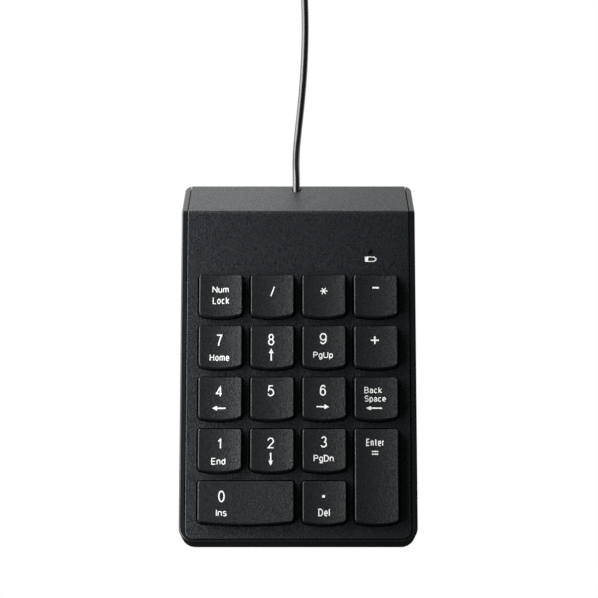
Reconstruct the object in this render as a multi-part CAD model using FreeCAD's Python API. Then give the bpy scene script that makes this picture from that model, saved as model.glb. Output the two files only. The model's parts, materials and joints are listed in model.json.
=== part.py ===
import FreeCAD, Part
import math
import os

# Corded numeric keypad. X to the right, Y to the back, Z up, millimetres. The origin is at the middle of
# the footprint, on the surface that the rubber feet stand on. Most of the object is laid out on the
# sloping deck: u runs right, v runs back along the deck from its rear crease, w rises square to it.

# ---- driving dimensions ------------------------------------------------------------------------------
WIDTH = 86.7                 # across the rim, at deck level
LENGTH = 138.8               # front of the rim to the rear wall
SLOPE = 6.0                  # deck slope, degrees
CREASE_Z = 25.25             # height of the crease between the deck and the rear slope
REAR_RUN = 16.25             # horizontal length of the rear slope
REAR_DROP = 16.75            # height that the rear slope falls
BASE_Z = 1.0                 # underside of the bottom case
SIDE_DRAFT = 2.0             # degrees that the side walls lean in below the rim
FRONT_DRAFT = -3.0           # against square to the deck, so that the front wall stands almost upright
FRONT_CORNER = 5.4           # plan radius of the front corners
REAR_CORNER = 3.0            # radius of the rear corners of the rim
COVER_CORNER = 0.4           # the cover's own rear corners, before the rim's corners cut across them
CREASE_RADIUS = 2.0
BASE_EDGE = 0.8
WALL = 2.0                   # bottom case wall, seen as the rim
RIM_SLIM = 1.0               # how much narrower the rim is along the front
RIM_ROUND = 0.6
COVER_ROUND = 0.3
FLOOR = 1.8
SEAM = 0.25                  # gap between the rim and the top cover
COVER = 2.0                  # top cover thickness
COVER_SIDE = 1.6             # thickness of the cover's side walls
COVER_SKIRT = 6.5            # how deep the cover's side walls reach
REAR_WALL = 4.0              # height of the cover's own rear wall

PITCH = 19.0                 # key pitch across
ROW_PITCH = 19.1             # key pitch from row to row
ROW_REAR = -24.97            # rear edge of the first row of keytops
KEY_WIDTH = 15.65
KEY_DEPTH = 15.4             # to the lowest point of the curved front edge
KEY_BOW = 1.0                # how far the front edge bows
KEY_TOP = 3.5                # keytop edge above the deck
KEY_SKIRT = -0.8             # lower edge of the keycap
KEY_FLARE = 0.35             # how much wider each side is at the lower edge
KEY_WALL = 1.1
KEY_ROOF = 1.8               # underside of the keytop
DISH = 0.7                   # depth of the hollow in the keytop
KEY_ROUND = 0.3              # radius round the keytop's edge
KEY_CORNERS = (0.8, 1.2)     # upright corner radii, rear and front
TRAVEL = 2.8

GAP = 0.9                    # keytop outline to the deck opening
WELL_DRAFT = 0.12            # how much narrower each side of a well is at its floor
WELL_FLOOR = -3.9
WELL_PLATE = 0.9
STEM = 5.6                   # square stem of a keycap
STEM_WALL = 1.1
GUIDE_CLEARANCE = 0.1        # stem to guide, each side
GUIDE_WALL = 1.1
GUIDE_TOP = -1.5
STEM_END = -4.6
CATCH_U = 5.0                # middle of each snap leg, from the middle of the key
CATCH = (0.9, 1.6)           # section of a snap leg
CATCH_BARB = 0.35

SHEET_TOP = -8.5             # top of the membrane stack, where the domes stand
SHEET = 0.1
SHEET_HALF = 38.6
SHEET_V = (-119.0, -22.6)
TAIL_HALF = 16.5             # the tail that carries the tracks to the board
TAIL_END = -17.6
PLATE_TOP = SHEET_TOP - 3 * SHEET
PLATE = 1.0
PLATE_HALF = 39.0
PLATE_V = (-119.2, -21.9)
PLATE_UNDER = PLATE_TOP - PLATE
DOME_FOOT = 4.4
DOME_NECK = 2.7
DOME_WALL = 0.5

WIRE_R = 0.45                # stabiliser wire
WIRE_ARM = 7.0
WIRE_W = -2.1                # height of its hooks
WIRE_SPAN = 24.0
WIRE_BAR = 5.2               # how far behind the key's middle the wire's bar runs
WIRE_FOOT = 2.6              # length of each foot
CLIP_U = 8.0                 # middle of each of the keycap's clips on the bar
HOOK_REACH = 1.9             # middle of each hook beyond the end of the bar

BOARD = 1.2
BOARD_TOP = PLATE_TOP

CORD_R = 1.4
CORD_HOLE = CORD_R + 0.35
CORD_START = 8.8             # the cord begins this far ahead of its exit, in the strain relief
FEET_R = 4.0
LABEL = (44.0, 26.0)
LABEL_Y = -12.0

CREASE_Y = LENGTH / 2 - REAR_RUN
REAR_Z = CREASE_Z - REAR_DROP
COS_SLOPE = math.cos(math.radians(SLOPE))
RIM_FRONT = -(CREASE_Y + LENGTH / 2) / COS_SLOPE

V = FreeCAD.Vector
DECK = FreeCAD.Placement(V(0, CREASE_Y, CREASE_Z), FreeCAD.Rotation(V(1, 0, 0), SLOPE))


# ---- small helpers -----------------------------------------------------------------------------------
def deck(shape):
    """Carry a shape drawn in deck coordinates to its place."""
    placed = shape.copy()
    placed.Placement = DECK.multiply(placed.Placement)
    return placed


def box(u, v, w):
    """A block between two u, two v and two w values."""
    return Part.makeBox(u[1] - u[0], v[1] - v[0], w[1] - w[0], V(u[0], v[0], w[0]))


def centred(u, v, size_u, size_v, w):
    return box((u - size_u / 2, u + size_u / 2), (v - size_v / 2, v + size_v / 2), w)


def post(u, v, w, radius):
    return Part.makeCylinder(radius, w[1] - w[0], V(u, v, w[0]))


def tube(u, v, w, outer, inner):
    return post(u, v, w, outer).cut(post(u, v, (w[0] - 1, w[1] + 1), inner))


def joined(shapes):
    result = shapes[0].multiFuse(shapes[1:]) if len(shapes) > 1 else shapes[0]
    return result.removeSplitter()


def vertical_edges(shape, test):
    """Edges of a drafted block that run between its upper and lower faces."""
    found = []
    for edge in shape.Edges:
        a, b = edge.Vertexes[0].Point, edge.Vertexes[-1].Point
        rise = abs(a.z - b.z)
        if rise > 0.9 * edge.Length and test((a + b) * 0.5):
            found.append(edge)
    return found


def frustum(lower, upper):
    """A solid with flat faces between two rectangles, each given as its u pair, v pair and w."""
    (u, v, w), (u2, v2, w2) = lower, upper
    wedge = Part.makeWedge(u[0], w, -v[1], -v2[1], u2[0], u[1], w2, -v[0], -v2[0], u2[1])
    wedge.rotate(V(0, 0, 0), V(1, 0, 0), 90)
    return wedge


# ---- the outer shape ---------------------------------------------------------------------------------
def side_profile(depth):
    """Side view of the object with its deck, rear slope and rear wall moved in by depth, as a slab.

    The slab stands on the base at depth 0 and runs well below it otherwise."""
    base = BASE_Z if depth == 0 else -LENGTH
    tilt = math.radians(SLOPE)
    steep = math.atan2(REAR_DROP, REAR_RUN)
    lines = [
        (-math.sin(tilt), math.cos(tilt), CREASE_Y, CREASE_Z),
        (math.sin(steep), math.cos(steep), CREASE_Y, CREASE_Z),
        (math.cos(tilt / 4), math.sin(tilt / 4), LENGTH / 2, REAR_Z),
    ]
    offsets = [ny * y + nz * z - depth for ny, nz, y, z in lines]
    corners = [(-LENGTH, base)]
    corners.append((-LENGTH, (offsets[0] - lines[0][0] * -LENGTH) / lines[0][1]))
    for (first, second) in ((0, 1), (1, 2)):
        a, b = lines[first][0], lines[first][1]
        c, d = lines[second][0], lines[second][1]
        e, f = offsets[first], offsets[second]
        scale = a * d - b * c
        corners.append(((e * d - b * f) / scale, (a * f - e * c) / scale))
    last = lines[2]
    corners.append(((offsets[2] - last[1] * base) / last[0], base))
    wire = Part.makePolygon([V(-WIDTH, y, z) for y, z in corners + corners[:1]])
    return Part.Face(wire).extrude(V(2 * WIDTH, 0, 0))


def drafted_block(inset):
    """The plan outline at deck level moved in by inset, running down square to the deck with draft."""
    low, high, back = -34.0, 3.0, 30.0

    def outline(w):
        half = WIDTH / 2 - inset + w * math.tan(math.radians(SIDE_DRAFT))
        front = RIM_FRONT + max(inset - RIM_SLIM, 0) - w * math.tan(math.radians(FRONT_DRAFT))
        return (-half, half), (front, back), w

    block = frustum(outline(low), outline(high))
    front_edges = vertical_edges(block, lambda p: p.y < -50)
    return deck(block.makeFillet(max(FRONT_CORNER - inset, 1.0), front_edges))


def facing_up(face):
    u0, u1, v0, v1 = face.ParameterRange
    return face.normalAt((u0 + u1) / 2, (v0 + v1) / 2).z > 0.5


def envelope(inset, rim_radius, rear_corner):
    """The closed outer shape moved in by inset at the sides and front, its crease and rim rounded."""
    body = drafted_block(inset).common(side_profile(0))
    crease, corners = [], []
    for edge in body.Edges:
        a, b = edge.Vertexes[0].Point, edge.Vertexes[-1].Point
        if abs(a.z - CREASE_Z) < 0.01 and abs(b.z - CREASE_Z) < 0.01 and abs(a.y - CREASE_Y) < 0.01:
            crease.append(edge)
        if min(a.y, b.y) > LENGTH / 2 - 1.5 and abs(a.x - b.x) < 1.0 and abs(a.z - b.z) > 5:
            corners.append(edge)
    body = body.makeFillet(CREASE_RADIUS, crease)
    corners = [e for e in body.Edges if any(same_place(e, c) for c in corners)]
    body = body.makeFillet(rear_corner, corners)
    rim = []
    for edge in body.Edges:
        faces = body.ancestorsOfType(edge, Part.Face)
        if len(faces) == 2 and facing_up(faces[0]) != facing_up(faces[1]):
            if edge.CenterOfMass.z > BASE_Z + 3:
                rim.append(edge)
    body = body.makeFillet(rim_radius, rim)
    return body.makeFillet(BASE_EDGE, [e for e in body.Edges if e.BoundBox.ZMax < BASE_Z + 0.01])


def same_place(first, second):
    return (first.CenterOfMass - second.CenterOfMass).Length < 0.5


# ---- keys --------------------------------------------------------------------------------------------
def key_centre(row, column, wide=1, tall=1):
    """Middle of a key of some units, column and row being its left and rear cells."""
    u = (column - 1.5 + (wide - 1) / 2) * PITCH
    v = ROW_REAR - KEY_DEPTH / 2 - (row + (tall - 1) / 2) * ROW_PITCH
    return u, v


KEYS = {
    "key_num_lock": (0, 0), "key_divide": (0, 1), "key_multiply": (0, 2), "key_minus": (0, 3),
    "key_7": (1, 0), "key_8": (1, 1), "key_9": (1, 2), "key_plus": (1, 3),
    "key_4": (2, 0), "key_5": (2, 1), "key_6": (2, 2), "key_backspace": (2, 3),
    "key_1": (3, 0), "key_2": (3, 1), "key_3": (3, 2), "key_enter": (3, 3, 1, 2),
    "key_0": (4, 0, 2, 1), "key_decimal": (4, 2),
}


def key_size(wide=1, tall=1):
    return KEY_WIDTH + (wide - 1) * PITCH, KEY_DEPTH + (tall - 1) * ROW_PITCH


def cell(name):
    """Middle and size of a key by name."""
    place = KEYS[name]
    units = place[2:] or (1, 1)
    return key_centre(place[0], place[1], *units), key_size(*units)


def key_block(size_u, size_v, lower, upper, rear_radius, front_radius):
    """A key-shaped block with a bowed front between two (grow, w) outlines, its upright corners rounded."""
    half, front = size_u / 2, -size_v / 2

    def outline(grow, w):
        side, rear, ahead = half + grow, size_v / 2 + grow, front - grow - 0.5
        return (-side, side), (ahead, rear), w

    block = frustum(outline(*lower), outline(*upper))
    bow = (half * half + KEY_BOW * KEY_BOW) / (2 * KEY_BOW)
    sweep = Part.makeCone(bow + lower[0], bow + upper[0], upper[1] - lower[1], V(0, front + bow, lower[1]))
    block = block.common(sweep)
    block = block.makeFillet(rear_radius, vertical_edges(block, lambda p: p.y > 0))
    return block.makeFillet(front_radius, vertical_edges(block, lambda p: p.y < 0))


def keycap(name):
    (u, v), (size_u, size_v) = cell(name)
    turned = size_v > size_u + 1
    shell = key_block(size_u, size_v, (KEY_FLARE, KEY_SKIRT), (0, KEY_TOP), *KEY_CORNERS)
    half = size_u / 2
    radius = (half * half + DISH * DISH) / (2 * DISH)
    dish = Part.makeCylinder(radius, size_v * 2, V(0, -size_v, KEY_TOP - DISH + radius), V(0, 1, 0))
    shell = shell.cut(dish)
    top = [e for e in shell.Edges if min(p.Point.z for p in e.Vertexes) > KEY_TOP - DISH - 0.05]
    shell = shell.makeFillet(KEY_ROUND, top)
    hollow = key_block(
        size_u, size_v, (KEY_FLARE - KEY_WALL, KEY_SKIRT - 0.5), (-KEY_WALL, KEY_ROOF), 0.6, 0.8)
    shell = shell.cut(hollow)
    root = KEY_ROOF + 0.3
    bore = STEM - 2 * STEM_WALL
    stem = centred(0, 0, STEM, STEM, (STEM_END, root))
    stem = stem.cut(centred(0, 0, bore, bore, (STEM_END - 1, 0.6)))
    pieces = [shell, stem]
    floor_under = WELL_FLOOR - WELL_PLATE
    for side in (-1, 1):
        leg = centred(side * CATCH_U, 0, CATCH[0], CATCH[1], (floor_under - 0.65, root))
        barb_u = side * (CATCH_U + CATCH[0] / 2 + CATCH_BARB / 2)
        barb = centred(barb_u, 0, CATCH_BARB, CATCH[1], (floor_under - 0.65, floor_under - 0.15))
        pieces += [turned_about(leg, turned), turned_about(barb, turned)]
    if name in ("key_0", "key_enter"):
        bar_w = wire_bar_w()
        for along in (-CLIP_U, CLIP_U):
            clip = centred(along, WIRE_BAR, 1.8, 3.0, (bar_w - 0.95, root))
            slot_w = (bar_w - WIRE_R - 0.05, bar_w + WIRE_R + 0.05)
            slot = centred(along, WIRE_BAR, 4, 2 * WIRE_R + 0.5, slot_w)
            pieces.append(turned_about(clip.cut(slot), turned))
    cap = joined(pieces)
    cap.translate(V(u, v, 0))
    return deck(cap)


def turned_about(shape, turned):
    """Turn a shape a quarter clockwise about the key's axis when its key is a tall one."""
    result = shape.copy()
    if turned:
        result.rotate(V(0, 0, 0), V(0, 0, 1), -90)
    return result


# ---- stabiliser wires --------------------------------------------------------------------------------
def wire_swing():
    """Angle of the arms above level at rest; they swing as far below it when the key is down."""
    return math.asin(TRAVEL / 2 / WIRE_ARM)


def wire_bar_w():
    """Height of the wire's bar with the key at rest."""
    return WIRE_W + WIRE_ARM * math.sin(wire_swing())


def wire_foot_v():
    """Where the wire's feet lie, behind the key's middle."""
    return WIRE_BAR - WIRE_ARM * math.cos(wire_swing())


def stabiliser_wire(name):
    (u, v), size = cell(name)
    half, foot_v, bar_w = WIRE_SPAN / 2, wire_foot_v(), wire_bar_w()
    end = half + WIRE_FOOT
    path = [V(-end, foot_v, WIRE_W), V(-half, foot_v, WIRE_W), V(-half, WIRE_BAR, bar_w),
            V(half, WIRE_BAR, bar_w), V(half, foot_v, WIRE_W), V(end, foot_v, WIRE_W)]
    pieces = []
    for start, end in zip(path, path[1:]):
        run = end - start
        pieces.append(Part.makeCylinder(WIRE_R, run.Length, start, run))
    pieces += [Part.makeSphere(WIRE_R, corner) for corner in path[1:-1]]
    wire = turned_about(joined(pieces), size[1] > size[0])
    wire.translate(V(u, v, 0))
    return deck(wire)


def wire_hooks(name):
    """The two eyes on the well floor that the wire's feet turn in."""
    (u, v), size = cell(name)
    foot_v = wire_foot_v()
    hooks = []
    for side in (-1, 1):
        middle = side * (WIRE_SPAN / 2 + HOOK_REACH)
        eye = centred(middle, foot_v, 1.6, 2.6, (WELL_FLOOR - 0.2, WIRE_W + 0.9))
        hole = Part.makeCylinder(WIRE_R + 0.06, 4, V(middle - 2, foot_v, WIRE_W), V(1, 0, 0))
        hooks.append(turned_about(eye.cut(hole), size[1] > size[0]))
    for hook in hooks:
        hook.translate(V(u, v, 0))
    return hooks


def wire_reliefs(name):
    """Groove under the swinging wire and holes for the keycap's clips, cut in the well floor."""
    (u, v), size = cell(name)
    cuts = [centred(0, WIRE_BAR, WIRE_SPAN + 2, 2.0, (WELL_FLOOR - 0.4, WELL_FLOOR + 1))]
    for along in (-CLIP_U, CLIP_U):
        cuts.append(centred(along, WIRE_BAR, 2.8, 3.8, (WELL_FLOOR - 2, WELL_FLOOR + 1)))
    cuts = [turned_about(cut, size[1] > size[0]) for cut in cuts]
    for cut in cuts:
        cut.translate(V(u, v, 0))
    return cuts


# ---- top cover and bottom case -----------------------------------------------------------------------
CASE_SCREWS = [(-37.0, -9.0), (37.0, -9.0)]
CASE_SCREWS += [(u, ROW_REAR - KEY_DEPTH - 1.8 - row * ROW_PITCH) for row in (0, 3) for u in (-PITCH, PITCH)]
BOARD_POSTS = [(-28.0, -9.5), (28.0, -9.5)]
CLAMP_POSTS = [(-13.0, -19.4), (13.0, -19.4)]
BOARD_V = (-21.2, -6.0)
BOARD_HALF = 32.0
LIGHT = (27.0, -15.5)        # middle of the light window
LIGHT_R = 0.95
CHIP = (-4.0, -14.4)
EXIT = V(-0.7, LENGTH / 2 - 2.2, REAR_Z + 2.4)      # where the cord leaves the rear slope
RELIEF = (7.0, 4.2, 6.4)     # strain relief block
RELIEF_END = 12.3            # its front face ahead of the cord's exit
ANCHOR = (13.0, 2.0, 12.0)   # each of the two walls that hold it
BLOCK_HALF = 39.6            # the wells' common block
BLOCK_V = (-120.0, -22.4)


def top_cover():
    inset = WALL + SEAM
    whole = envelope(0, RIM_ROUND, REAR_CORNER)
    skin = envelope(inset, COVER_ROUND, COVER_CORNER).common(whole).cut(side_profile(COVER_SKIRT))
    hollow = drafted_block(inset + COVER_SIDE).common(side_profile(COVER))
    skin = skin.cut(hollow)
    skin = skin.cut(Part.makeBox(2 * WIDTH, 30, REAR_Z - REAR_WALL, V(-WIDTH, LENGTH / 2 - 12, 0)))
    well_block = deck(box((-BLOCK_HALF, BLOCK_HALF), BLOCK_V, (WELL_FLOOR - WELL_PLATE, -COVER / 2)))
    well_block = well_block.common(drafted_block(inset + 0.2))
    bosses = []
    for u, v in CASE_SCREWS:
        top = -COVER / 2 if v > BLOCK_V[1] else WELL_FLOOR
        bosses.append(deck(post(u, v, (PLATE_UNDER - 0.1, top), 2.6)))
    cover = joined([skin, well_block] + bosses)

    cuts, guides = [], []
    floor = (WELL_FLOOR - WELL_PLATE - 0.5, WELL_FLOOR + 1)
    for name in KEYS:
        (u, v), (size_u, size_v) = cell(name)
        pocket = key_block(size_u, size_v, (GAP - WELL_DRAFT, WELL_FLOOR), (GAP, 2.0), 1.6, 2.4)
        pocket.translate(V(u, v, 0))
        cuts.append(pocket)
        opening = STEM + 2 * GUIDE_CLEARANCE
        cuts.append(centred(u, v, opening, opening, floor))
        for side in (-1, 1):
            slot = turned_about(centred(side * (CATCH_U - 0.05), 0, 1.3, 2.2, floor), size_v > size_u + 1)
            slot.translate(V(u, v, 0))
            cuts.append(slot)
        outer = opening + 2 * GUIDE_WALL
        guide = centred(u, v, outer, outer, (WELL_FLOOR - 0.2, GUIDE_TOP))
        guides.append(guide.cut(centred(u, v, opening, opening, (WELL_FLOOR - 1, 0))))
        if name in ("key_0", "key_enter"):
            cuts += wire_reliefs(name)
            guides += wire_hooks(name)
    for u, v in CASE_SCREWS:
        cuts.append(post(u, v, (PLATE_UNDER - 1, WELL_FLOOR - WELL_PLATE - 0.2), 1.0))
    cuts.append(post(LIGHT[0], LIGHT[1], (-10, 2), LIGHT_R))
    cover = cover.cut([deck(c) for c in cuts])
    cover = joined([cover] + [deck(g) for g in guides])
    cover = cover.cut(Part.makeCylinder(CORD_HOLE, 12, EXIT + V(0, -8, 0), V(0, 1, 0)))
    return cover


def bottom_case():
    cavity = drafted_block(WALL).common(
        Part.makeBox(4 * WIDTH, 4 * WIDTH, 60, V(-2 * WIDTH, -2 * WIDTH, BASE_Z + FLOOR)))
    rear_wall = LENGTH / 2 - WALL
    low_rear = REAR_Z - REAR_WALL - SEAM
    cavity = cavity.cut(Part.makeBox(2 * WIDTH, 20, low_rear, V(-WIDTH, rear_wall, 0)))
    tray = envelope(0, RIM_ROUND, REAR_CORNER).cut(cavity)
    ribs = []
    for u in (-28.5, -9.5, 9.5, 28.5):
        rib = deck(box((u - 0.6, u + 0.6), (-117.0, -23.0), (-30.0, PLATE_UNDER)))
        ribs.append(rib)
    for u, v in CASE_SCREWS:
        ribs.append(deck(post(u, v, (-30.0, PLATE_UNDER - 0.15), 4.0)))
    for u, v in BOARD_POSTS + CLAMP_POSTS:
        ribs.append(deck(post(u, v, (-30.0, BOARD_TOP - BOARD), 2.6)))
    for behind_exit in (-RELIEF_END - ANCHOR[1] - 0.3, -RELIEF_END + RELIEF[1] + 0.1):
        ribs.append(Part.makeBox(*ANCHOR, V(EXIT.x - ANCHOR[0] / 2, EXIT.y + behind_exit, 0)))
    above_base = drafted_block(WALL / 2).common(
        Part.makeBox(4 * WIDTH, 4 * WIDTH, 60, V(-2 * WIDTH, -2 * WIDTH, BASE_Z + FLOOR / 2)))
    ribs = [rib.common(above_base) for rib in ribs]
    tray = joined([tray] + ribs)
    cuts = []
    for u, v in CASE_SCREWS:
        cuts.append(deck(post(u, v, (-34.0, PLATE_UNDER - 1.6), 2.7)))
        cuts.append(deck(post(u, v, (-34.0, 0), 1.45)))
    for u, v in BOARD_POSTS + CLAMP_POSTS:
        cuts.append(deck(post(u, v, (BOARD_TOP - BOARD - 5.0, 0), 0.85)))
    cuts.append(Part.makeCylinder(CORD_HOLE, 20, EXIT + V(0, -16, 0), V(0, 1, 0)))
    cuts.append(Part.makeBox(2 * CORD_HOLE, 20, 8, EXIT + V(-CORD_HOLE, -16, 0)))
    for x, y in feet_places():
        cuts.append(Part.makeCylinder(FEET_R + 0.15, 0.4, V(x, y, BASE_Z)))
    cuts.append(Part.makeBox(LABEL[0] + 0.4, LABEL[1] + 0.4, 0.25,
                             V(-LABEL[0] / 2 - 0.2, LABEL_Y - LABEL[1] / 2 - 0.2, BASE_Z)))
    return tray.cut(cuts)


def feet_places():
    return [(sx * 33.0, y) for y in (-58.0, 58.0) for sx in (-1, 1)]


# ---- inside ------------------------------------------------------------------------------------------
def sheet(w, tail_v=None):
    """One layer of the membrane with holes for the case screws and a tail that reaches the board."""
    layer = box((-SHEET_HALF, SHEET_HALF), SHEET_V, w)
    if tail_v is not None:
        tail = box((-TAIL_HALF, TAIL_HALF), (SHEET_V[1] - 0.4, tail_v), w)
        layer = layer.fuse(tail).removeSplitter()
    holes = [post(u, v, (w[0] - 1, w[1] + 1), 3.2) for u, v in CASE_SCREWS]
    if tail_v is not None:
        holes += [post(u, v, (w[0] - 1, w[1] + 1), 1.3) for u, v in CLAMP_POSTS]
    return layer.cut(holes)


def membrane_spacer():
    layer = sheet((SHEET_TOP - 2 * SHEET, SHEET_TOP - SHEET))
    holes = []
    for name in KEYS:
        (u, v), _ = cell(name)
        holes.append(post(u, v, (SHEET_TOP - 1, SHEET_TOP + 1), 2.5))
    return deck(layer.cut(holes))


def support_plate():
    plate = box((-PLATE_HALF, PLATE_HALF), PLATE_V, (PLATE_UNDER, PLATE_TOP))
    return deck(plate.cut([post(u, v, (PLATE_UNDER - 1, 0), 3.2) for u, v in CASE_SCREWS]))


def dome(name):
    """Hollow silicone cone: a foot ring, a thin sloping wall and a thick top."""
    (u, v), _ = cell(name)
    height = STEM_END - SHEET_TOP
    rim = 0.4
    outline = [(DOME_FOOT, 0), (DOME_FOOT, rim), (DOME_FOOT - 0.5, rim), (DOME_NECK, height - 1.0),
               (DOME_NECK, height), (0, height), (0, height - 1.2), (DOME_NECK - DOME_WALL, height - 1.2),
               (DOME_FOOT - 0.5 - DOME_WALL, 0)]
    wire = Part.makePolygon([V(r, 0, h) for r, h in outline + outline[:1]])
    cone = Part.Face(wire).revolve(V(0, 0, 0), V(0, 0, 1), 360)
    cone.translate(V(u, v, SHEET_TOP))
    return deck(cone)


def circuit_board():
    board = box((-BOARD_HALF, BOARD_HALF), BOARD_V, (BOARD_TOP - BOARD, BOARD_TOP))
    holes = [post(u, v, (BOARD_TOP - 3, BOARD_TOP + 1), 1.2) for u, v in BOARD_POSTS + CLAMP_POSTS]
    return deck(board.cut(holes))


def controller_chip():
    u, v = CHIP
    body = centred(u, v, 8.7, 3.9, (BOARD_TOP + 0.1, BOARD_TOP + 1.5))
    legs = [centred(u - 3.5 + k, v, 0.4, 6.0, (BOARD_TOP, BOARD_TOP + 0.3)) for k in range(8)]
    return deck(joined([body] + legs))


def board_components():
    places = [(-20.0, 0), (-17.5, 0), (-15.0, 0), (5.0, 0), (7.5, 0), (10.0, 90), (20.0, 90)]
    chips = []
    for u, turn in places:
        long_side, short_side = (2.0, 1.25) if turn == 0 else (1.25, 2.0)
        chips.append(deck(centred(u, -12.0, long_side, short_side, (BOARD_TOP, BOARD_TOP + 0.7))))
    crystal = deck(centred(15.0, -11.5, 3.2, 8.0, (BOARD_TOP, BOARD_TOP + 3.0)))
    capacitor = deck(post(-24.0, -13.0, (BOARD_TOP, BOARD_TOP + 4.5), 2.0))
    return Part.makeCompound(chips + [crystal, capacitor])


def lead_socket():
    """Four-way header on the board where the cord's leads end."""
    shell = centred(-0.7, -8.2, 10.0, 3.6, (BOARD_TOP, BOARD_TOP + 3.4))
    pocket = centred(-0.7, -8.2, 8.6, 2.2, (BOARD_TOP + 0.8, BOARD_TOP + 4.0))
    return deck(shell.cut(pocket))


def status_led():
    base = centred(LIGHT[0], LIGHT[1], 3.2, 2.4, (BOARD_TOP, BOARD_TOP + 0.6))
    lens = post(LIGHT[0], LIGHT[1], (BOARD_TOP + 0.5, BOARD_TOP + 1.3), 1.0)
    return deck(joined([base, lens]))


def light_pipe():
    stem = post(LIGHT[0], LIGHT[1], (BOARD_TOP + 1.5, -0.5), LIGHT_R - 0.02)
    flange = post(LIGHT[0], LIGHT[1], (-COVER - 1.2, -COVER), 1.9)
    return deck(joined([stem, flange]))


def clamp_bar():
    bar = box((-16.5, 16.5), (-21.0, -17.8), (SHEET_TOP + 0.6, SHEET_TOP + 2.6))
    rib = box((-15.5, 15.5), (-19.8, -19.0), (SHEET_TOP + 2.5, SHEET_TOP + 3.8))
    bar = joined([bar, rib])
    return deck(bar.cut([post(u, v, (SHEET_TOP - 1, SHEET_TOP + 5), 1.2) for u, v in CLAMP_POSTS]
                        + [post(u, v, (SHEET_TOP + 2.6, SHEET_TOP + 5), 2.2) for u, v in CLAMP_POSTS]))


def pressure_strip():
    return deck(box((-11.0, 11.0), (-20.6, -18.2), (SHEET_TOP, SHEET_TOP + 0.6)))


def screw(u, v, head_w, length, down, shank=1.0, head=2.1, head_height=1.4):
    """Pan-head screw whose head rests at head_w; it points down into the case or up into the cover."""
    way = -1 if down else 1
    shaft = Part.makeCylinder(shank, length, V(u, v, head_w), V(0, 0, way))
    cap = Part.makeCylinder(head, head_height, V(u, v, head_w), V(0, 0, -way))
    top_w = head_w - way * head_height
    rim = [e for e in cap.Edges if len(e.Vertexes) == 1 and abs(e.Vertexes[0].Point.z - top_w) < 1e-6]
    cap = cap.makeFillet(0.5, rim)
    deep = (top_w - 0.7, top_w + 0.7)
    cross = [centred(u, v, 2.4, 0.6, deep), centred(u, v, 0.6, 2.4, deep)]
    return deck(joined([shaft, cap.cut(cross)]))


def case_screws():
    head_w = PLATE_UNDER - 1.6
    return Part.makeCompound([screw(u, v, head_w, 5.6, False, 1.0, 2.3, 1.5) for u, v in CASE_SCREWS])


def clamp_screws():
    head_w = SHEET_TOP + 2.6
    return Part.makeCompound([screw(u, v, head_w, 6.6, True, 0.85, 1.9, 1.2) for u, v in CLAMP_POSTS])


def board_screws():
    return Part.makeCompound([screw(u, v, BOARD_TOP, 5.0, True, 0.85, 1.9, 1.2) for u, v in BOARD_POSTS])


def rubber_feet():
    feet = []
    for x, y in feet_places():
        foot = Part.makeCylinder(FEET_R, BASE_Z + 0.4, V(x, y, 0))
        rim = [e for e in foot.Edges if len(e.Vertexes) == 1 and e.Vertexes[0].Point.z < 0.01]
        feet.append(foot.makeFillet(0.4, rim))
    return Part.makeCompound(feet)


def rating_label():
    label = Part.makeBox(LABEL[0], LABEL[1], 0.15, V(-LABEL[0] / 2, LABEL_Y - LABEL[1] / 2, BASE_Z + 0.1))
    corners = [e for e in label.Edges if abs(e.Vertexes[0].Point.z - e.Vertexes[-1].Point.z) > 0.1]
    return label.makeFillet(1.5, corners)


# ---- cord and plug -----------------------------------------------------------------------------------
def strain_relief():
    """Block moulded on the cord, held between two walls of the bottom case."""
    block = Part.makeBox(*RELIEF, EXIT + V(-RELIEF[0] / 2, -RELIEF_END, -RELIEF[2] / 2))
    along = [e for e in block.Edges if abs(e.Vertexes[0].Point.y - e.Vertexes[-1].Point.y) > 1]
    bore = Part.makeCylinder(CORD_R, 10, EXIT + V(0, -CORD_START, 0), V(0, 1, 0))
    return block.makeFillet(0.8, along).cut(bore)


def leads():
    """Four leads from the end of the cord's jacket to the socket on the board."""
    start_y = EXIT.y - RELIEF_END
    wires = []
    for k in range(4):
        x = EXIT.x + (k - 1.5) * 0.75
        end = DECK.multVec(V(EXIT.x + (k - 1.5) * 2.0, -8.2, BOARD_TOP + 0.9))
        high = end + V(0, 0, 4.5)
        back = V(x, start_y - 1.5, EXIT.z)
        points = [V(x, start_y, EXIT.z), back, V((x + end.x) / 2, (back.y + high.y) / 2, high.z), high, end]
        wires.append(rounded_tube(points, 0.35))
    return Part.makeCompound(wires)


def rounded_tube(points, radius, announce=None):
    """A round tube along straight runs joined by tangent arcs as large as the runs allow."""
    edges, corner_in, radii = [], points[0], []
    for before, corner, after in zip(points, points[1:], points[2:]):
        first, second = (corner - before), (after - corner)
        turn = first.getAngle(second)
        bend = 0.45 * min(first.Length, second.Length) / math.tan(turn / 2)
        radii.append(bend)
        reach = bend * math.tan(turn / 2)
        first.normalize()
        second.normalize()
        start, end = corner - first * reach, corner + second * reach
        inward = second - first
        inward.normalize()
        middle = corner + inward * (bend / math.cos(turn / 2) - bend)
        edges.append(Part.makeLine(corner_in, start))
        edges.append(Part.Arc(start, middle, end).toShape())
        corner_in = end
    edges.append(Part.makeLine(corner_in, points[-1]))
    path = Part.Wire(edges)
    profile = Part.Wire([Part.makeCircle(radius, points[0], points[1] - points[0])])
    solid = path.makePipeShell([profile], True, False)
    if announce:
        print(announce, "bend radii", [round(r, 1) for r in radii])
        print(announce, "length", round(path.Length, 1), "volume ratio",
              round(solid.Volume / (math.pi * radius ** 2 * path.Length), 3))
    return solid


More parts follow.
